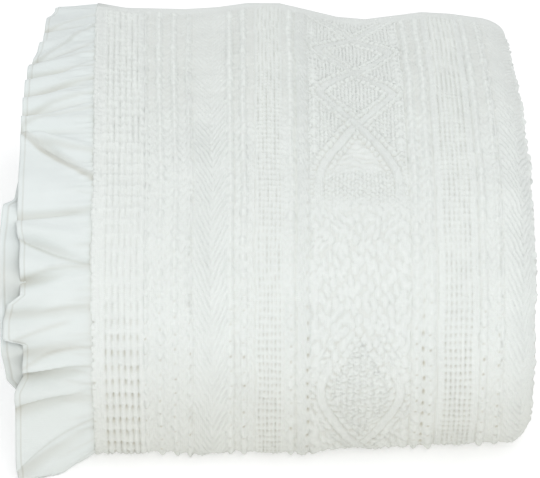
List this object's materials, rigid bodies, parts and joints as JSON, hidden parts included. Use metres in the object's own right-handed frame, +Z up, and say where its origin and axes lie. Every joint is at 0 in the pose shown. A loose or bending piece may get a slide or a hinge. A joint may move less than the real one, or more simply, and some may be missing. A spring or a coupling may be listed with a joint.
{
  "type": "folded blanket",
  "caption": "Folded cotton pique blanket with raised cords, braids and diamonds in stripes, and a gathered ruffle along its long edges.",
  "frame": {"origin": "on the surface that the bundle rests on, under the middle of its bounding box", "axes": "+Z up; +X from the ruffled side towards the folded side; the big front fold looks towards -Y and the open ends towards +Y"},
  "size_m": [0.5156, 0.6346, 0.2623],
  "materials": {
    "pique_cotton": "matte raised weave",
    "ruffle_cotton": "matte plain weave"
  },
  "bodies": {
    "root": {"pique_panel": "pique_cotton", "ruffle_outer": "ruffle_cotton", "ruffle_inner": "ruffle_cotton"}
  },
  "joints": []
}
